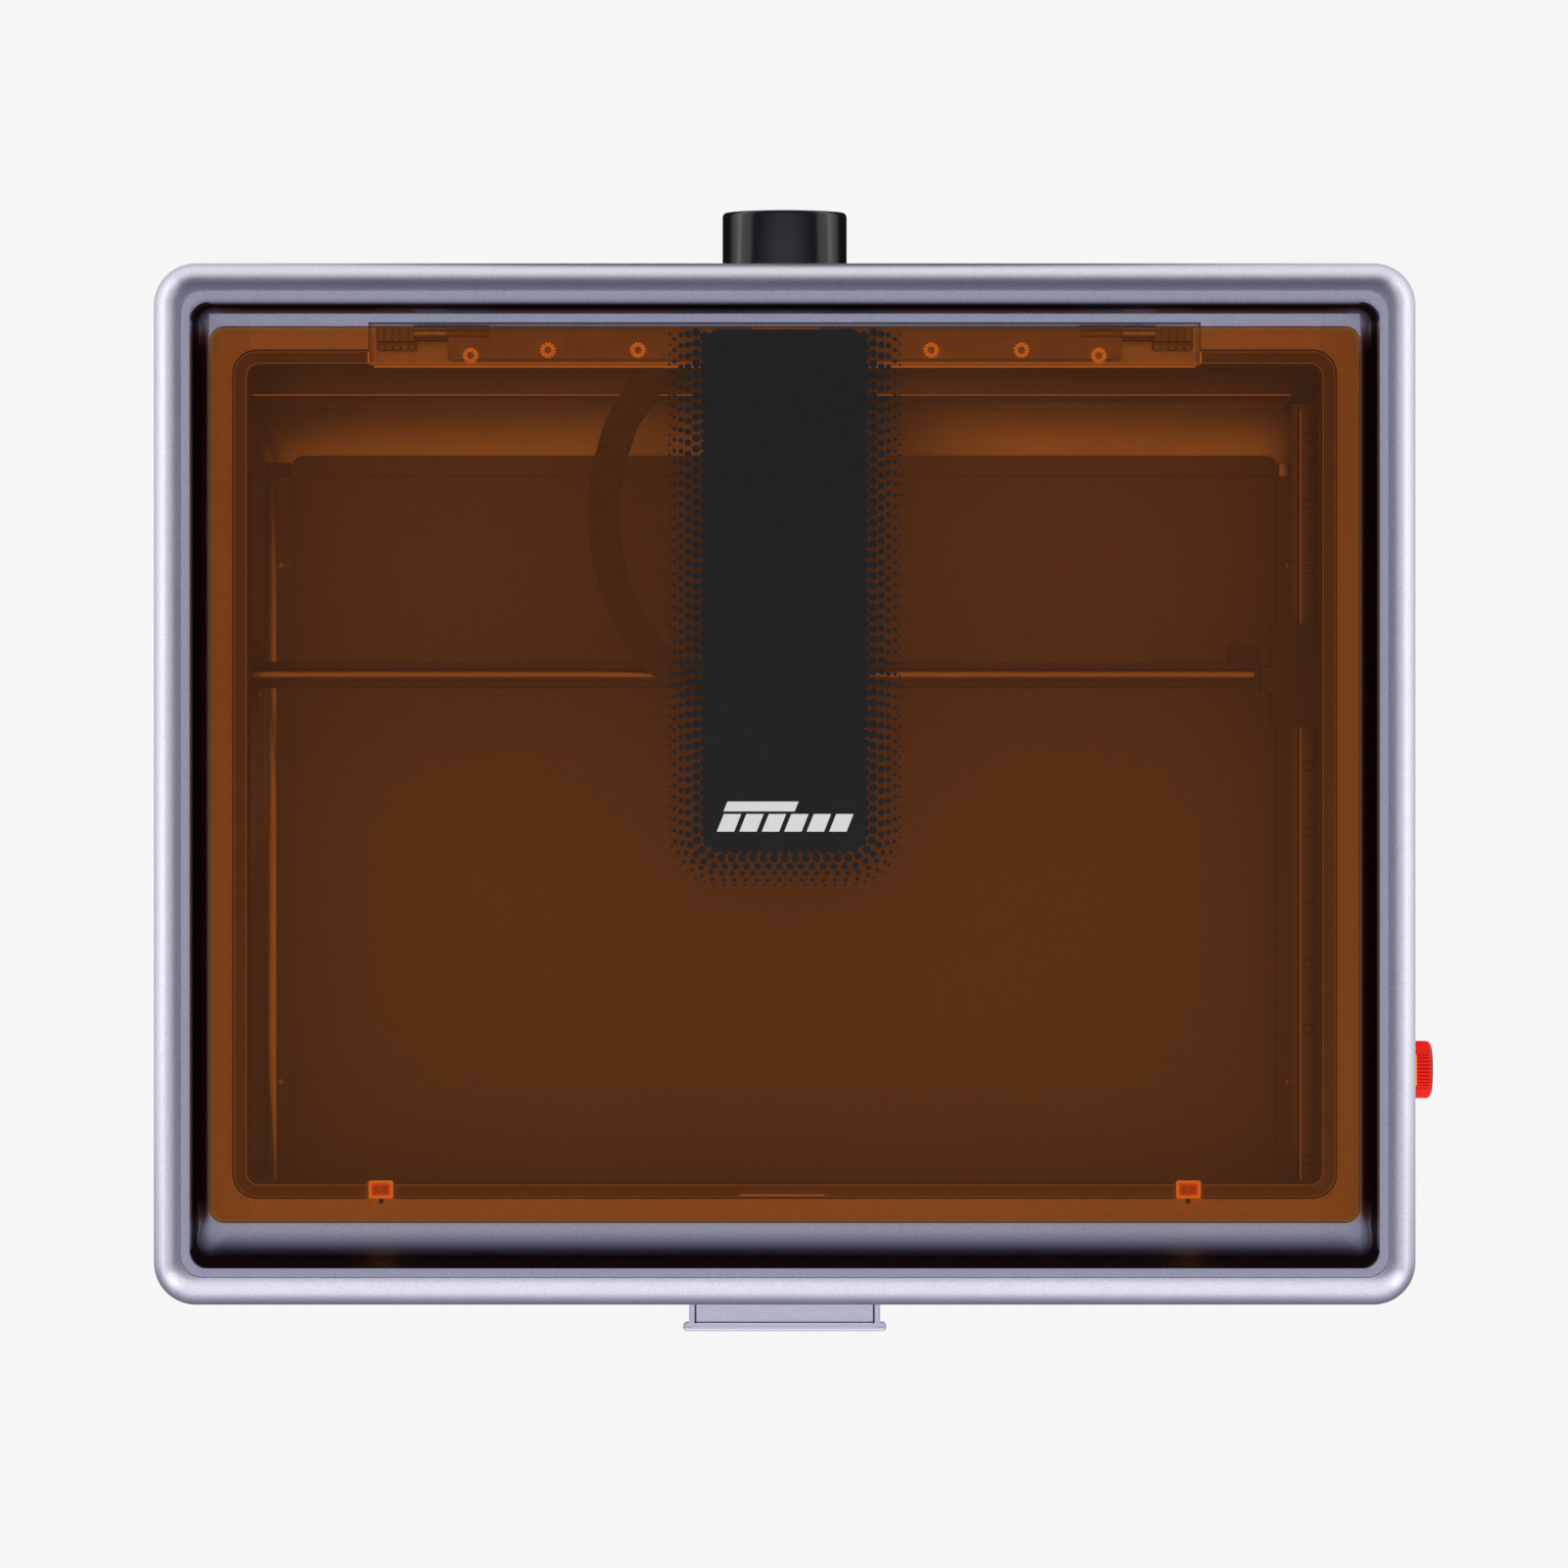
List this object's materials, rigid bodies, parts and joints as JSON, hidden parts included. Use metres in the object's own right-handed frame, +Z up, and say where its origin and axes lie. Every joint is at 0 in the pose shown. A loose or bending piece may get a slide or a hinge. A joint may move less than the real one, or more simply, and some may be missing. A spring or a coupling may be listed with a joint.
{
  "type": "laser engraver",
  "caption": "Desktop laser engraver: metal case, hinged see-through orange lid, pull-out tray, and a belt-driven two-axis gantry with laser module and cable chain.",
  "frame": {"origin": "bottom centre of the whole machine's box, on the plane under its feet", "axes": "+Z up, +Y towards the exhaust at the rear, +X to the right for somebody at the tray handle"},
  "size_m": [0.5784, 0.518, 0.202],
  "materials": {
    "paint": "satin metallic lavender-grey paint",
    "acrylic": "clear orange acrylic",
    "black_print": "black screen print under gloss",
    "seal_rubber": "matt foam rubber",
    "foot_rubber": "matt",
    "belt_rubber": "matt toothed",
    "hinge_metal": "dark coated",
    "bracket_metal": "dark coated",
    "zinc_sheet": "zinc plated",
    "dark_sheet": "matt dark powder coat",
    "bright_steel": "ground",
    "aluminium": "bead blasted",
    "motor_black": "black",
    "black_plastic": "fine grain",
    "chain_plastic": "moulded nylon",
    "red_plastic": "gloss",
    "yellow_plastic": "gloss",
    "circuit_board": "solder mask"
  },
  "bodies": {
    "case": {"lower_shell": "paint", "top_frame": "paint", "base_plate": "zinc_sheet", "foot_front_left": "foot_rubber", "foot_front_right": "foot_rubber", "foot_rear_left": "foot_rubber", "foot_rear_right": "foot_rubber", "lid_gasket": "seal_rubber", "hinge_left": "hinge_metal", "hinge_right": "hinge_metal", "rear_bay_cover": "dark_sheet", "right_bay_wall": "dark_sheet", "rail_shelf_left": "aluminium", "rail_shelf_right": "aluminium", "y_rail_left": "bright_steel", "y_rail_right": "bright_steel", "motor_left": "motor_black", "motor_right": "motor_black", "belt_left": "belt_rubber", "belt_right": "belt_rubber", "control_board": "circuit_board", "exhaust_spigot": "black_plastic", "exhaust_fan_frame": "black_plastic", "estop_collar": "yellow_plastic", "power_inlet": "black_plastic", "chain_rear": "chain_plastic"},
    "lid": {"lid_glass": "acrylic", "lid_mask": "black_print", "lid_bracket": "bracket_metal", "catch_left": "bright_steel", "catch_right": "bright_steel", "camera_housing": "black_plastic"},
    "tray": {"tray_plate": "dark_sheet", "tray_handle": "paint"},
    "gantry": {"x_beam": "dark_sheet", "x_rail": "bright_steel", "carriage_left": "black_plastic", "carriage_right": "black_plastic", "x_limit_switch": "black_plastic", "cross_belt_front": "belt_rubber", "cross_belt_rear": "belt_rubber"},
    "head": {"head_carriage": "black_plastic", "chain_front": "chain_plastic"},
    "laser": {"laser_module": "aluminium", "laser_nozzle": "bright_steel"},
    "head_fan": {"head_fan_rotor": "black_plastic"},
    "lock_knob": {"focus_knob": "red_plastic"},
    "exhaust_fan": {"exhaust_rotor": "black_plastic"},
    "stop_stem": {"estop_stem": "black_plastic"},
    "stop_cap": {"estop_cap": "red_plastic"},
    "start_key": {"start_button": "black_plastic"},
    "power_switch": {"power_rocker": "black_plastic"},
    "left_motor_pulley": {"motor_pulley_left": "aluminium"},
    "right_motor_pulley": {"motor_pulley_right": "aluminium"},
    "left_front_pulley": {"front_pulley_left": "bright_steel"},
    "right_front_pulley": {"front_pulley_right": "bright_steel"},
    "left_front_idler": {"idler_left_front": "bright_steel"},
    "left_rear_idler": {"idler_left_rear": "bright_steel"},
    "right_front_idler": {"idler_right_front": "bright_steel"},
    "right_rear_idler": {"idler_right_rear": "bright_steel"}
  },
  "joints": [
    {"name": "lid_hinge", "type": "hinge", "parent": "case", "child": "lid", "pos_m": [-0.0057, 0.1992, 0.175], "axis": [-1, 0, 0], "range_deg": [0, 65]},
    {"name": "tray_slide", "type": "slide", "parent": "case", "child": "tray", "axis": [0, -1, 0], "range_m": [0, 0.34]},
    {"name": "gantry_y", "type": "slide", "parent": "case", "child": "gantry", "axis": [0, 1, 0], "range_m": [-0.195, 0.1], "deforming": ["chain_rear"]},
    {"name": "head_x", "type": "slide", "parent": "gantry", "child": "head", "axis": [1, 0, 0], "range_m": [-0.185, 0.18], "deforming": ["chain_front"]},
    {"name": "focus_slide", "type": "slide", "parent": "head", "child": "laser", "axis": [0, 0, 1], "range_m": [-0.018, 0.006]},
    {"name": "focus_lock", "type": "hinge", "parent": "laser", "child": "lock_knob", "pos_m": [0.0263, 0.022, 0.112], "axis": [1, 0, 0], "range_deg": [0, 360]},
    {"name": "head_fan_spin", "type": "hinge", "parent": "laser", "child": "head_fan", "pos_m": [-0.0057, 0.0047, 0.1305], "axis": [0, 0, 1], "continuous": true},
    {"name": "exhaust_fan_spin", "type": "hinge", "parent": "case", "child": "exhaust_fan", "pos_m": [-0.0057, 0.2102, 0.08], "axis": [0, 1, 0], "continuous": true},
    {"name": "estop_press", "type": "slide", "parent": "case", "child": "stop_stem", "axis": [-1, 0, 0], "range_m": [0, 0.0024]},
    {"name": "estop_twist", "type": "hinge", "parent": "stop_stem", "child": "stop_cap", "pos_m": [0.2843, -0.1338, 0.13], "axis": [1, 0, 0], "range_deg": [0, 45], "stiffness_Nm_per_rad": 0.03},
    {"name": "start_press", "type": "slide", "parent": "case", "child": "start_key", "axis": [0, 1, 0], "range_m": [0, 0.002], "stiffness_N_per_m": 300},
    {"name": "power_rock", "type": "hinge", "parent": "case", "child": "power_switch", "pos_m": [-0.1657, 0.2259, 0.04], "axis": [1, 0, 0], "range_deg": [0, 18]},
    {"name": "left_motor_turn", "type": "hinge", "parent": "case", "child": "left_motor_pulley", "pos_m": [-0.2622, 0.195, 0.101], "axis": [0, 0, 1], "continuous": true},
    {"name": "right_motor_turn", "type": "hinge", "parent": "case", "child": "right_motor_pulley", "pos_m": [0.2335, 0.195, 0.101], "axis": [0, 0, 1], "continuous": true},
    {"name": "left_front_turn", "type": "hinge", "parent": "case", "child": "left_front_pulley", "pos_m": [-0.2622, -0.2088, 0.101], "axis": [0, 0, 1], "continuous": true},
    {"name": "right_front_turn", "type": "hinge", "parent": "case", "child": "right_front_pulley", "pos_m": [0.2335, -0.2088, 0.101], "axis": [0, 0, 1], "continuous": true},
    {"name": "left_front_idle", "type": "hinge", "parent": "gantry", "child": "left_front_idler", "pos_m": [-0.252, 0.0368, 0.101], "axis": [0, 0, 1], "continuous": true},
    {"name": "left_rear_idle", "type": "hinge", "parent": "gantry", "child": "left_rear_idler", "pos_m": [-0.252, 0.055, 0.101], "axis": [0, 0, 1], "continuous": true},
    {"name": "right_front_idle", "type": "hinge", "parent": "gantry", "child": "right_front_idler", "pos_m": [0.2233, 0.0368, 0.101], "axis": [0, 0, 1], "continuous": true},
    {"name": "right_rear_idle", "type": "hinge", "parent": "gantry", "child": "right_rear_idler", "pos_m": [0.2233, 0.055, 0.101], "axis": [0, 0, 1], "continuous": true}
  ],
  "couplings": [
    {"joint": "left_motor_turn", "follows": "gantry_y", "rad_per_m": 196.08},
    {"joint": "right_motor_turn", "follows": "gantry_y", "rad_per_m": -196.08},
    {"joint": "left_front_turn", "follows": "gantry_y", "rad_per_m": 196.08},
    {"joint": "right_front_turn", "follows": "gantry_y", "rad_per_m": -196.08},
    {"joint": "left_front_idle", "follows": "head_x", "rad_per_m": -196.08},
    {"joint": "left_rear_idle", "follows": "head_x", "rad_per_m": 196.08},
    {"joint": "right_front_idle", "follows": "head_x", "rad_per_m": -196.08},
    {"joint": "right_rear_idle", "follows": "head_x", "rad_per_m": 196.08}
  ]
}
